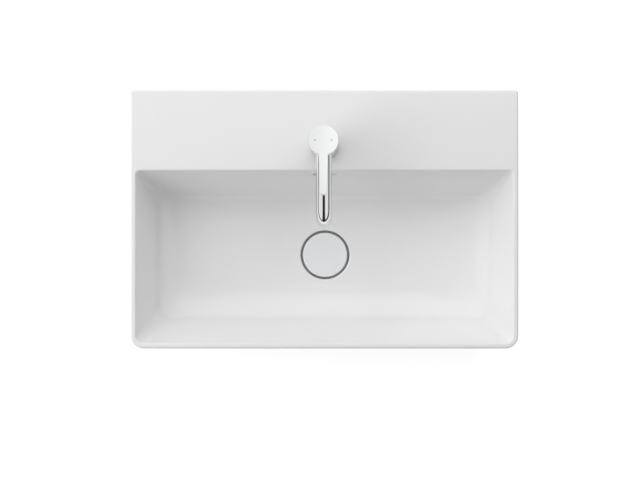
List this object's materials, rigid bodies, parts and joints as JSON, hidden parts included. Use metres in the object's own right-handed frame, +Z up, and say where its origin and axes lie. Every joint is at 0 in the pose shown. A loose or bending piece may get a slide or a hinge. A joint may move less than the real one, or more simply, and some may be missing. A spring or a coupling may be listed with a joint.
{
  "type": "vanity basin",
  "caption": "Rectangular glazed ceramic vanity basin with a full-width tap deck, sloping bowl, rear overflow slot, single-lever mixer tap and push-open drain cover.",
  "frame": {"origin": "middle of the rear foot of the basin on the vanity top, half the 12 mm skirt wall in front of the wall", "axes": "+X to the user's right, +Y towards the wall, +Z up; y = 6 mm is the wall plane and z = 0 the vanity top"},
  "size_m": [0.6, 0.4, 0.3493],
  "materials": {
    "glaze": "gloss white glaze",
    "chrome": "polished chrome plate",
    "rubber": "matt black rubber",
    "white_plastic": "satin",
    "dark_plastic": "satin",
    "brass": "turned",
    "steel": "bright zinc",
    "disc_ceramic": "lapped",
    "index_red": "enamel",
    "index_blue": "enamel"
  },
  "bodies": {
    "basin": {"basin_body": "glaze", "waste_body": "chrome", "waste_flange_seal": "rubber", "waste_cone_gasket": "rubber", "waste_washer": "white_plastic", "waste_backnut": "brass", "click_housing": "brass", "click_spring": "steel", "tap_body": "chrome", "tap_base_seal": "rubber", "fixing_stud": "steel", "horseshoe_gasket": "rubber", "horseshoe_plate": "steel", "fixing_nut": "brass", "aerator_housing": "chrome", "aerator_washer": "rubber", "aerator_insert": "white_plastic", "cartridge_housing": "white_plastic", "cartridge_base": "white_plastic", "cartridge_seals": "rubber", "fixed_disc": "disc_ceramic", "cartridge_nut": "brass", "dome_ring": "chrome"},
    "rotor": {"cartridge_rotor": "dark_plastic", "pivot_pin": "steel"},
    "lever": {"tap_handle": "chrome", "lever_stem": "brass", "handle_screw": "steel", "screw_cap": "dark_plastic", "index_hot": "index_red", "index_cold": "index_blue"},
    "valve_disc": {"disc_carrier": "white_plastic", "moving_disc": "disc_ceramic"},
    "cover": {"drain_cover": "glaze", "cover_carrier": "brass", "plug_seal": "rubber", "click_plunger": "steel"}
  },
  "joints": [
    {"name": "temperature_turn", "type": "hinge", "parent": "basin", "child": "rotor", "pos_m": [0, -0.081, 0.2705], "axis": [0, 0, 1], "range_deg": [-50, 50]},
    {"name": "lever_lift", "type": "hinge", "parent": "rotor", "child": "lever", "pos_m": [0, -0.081, 0.2705], "axis": [-1, 0, 0], "range_deg": [0, 20]},
    {"name": "disc_travel", "type": "slide", "parent": "rotor", "child": "valve_disc", "axis": [0, -1, 0], "range_m": [0, 0.004]},
    {"name": "cover_lift", "type": "slide", "parent": "basin", "child": "cover", "axis": [0, 0, 1], "range_m": [0, 0.008], "deforming": ["click_spring"]}
  ],
  "couplings": [
    {"joint": "disc_travel", "follows": "lever_lift", "m_per_rad": 0.011}
  ]
}
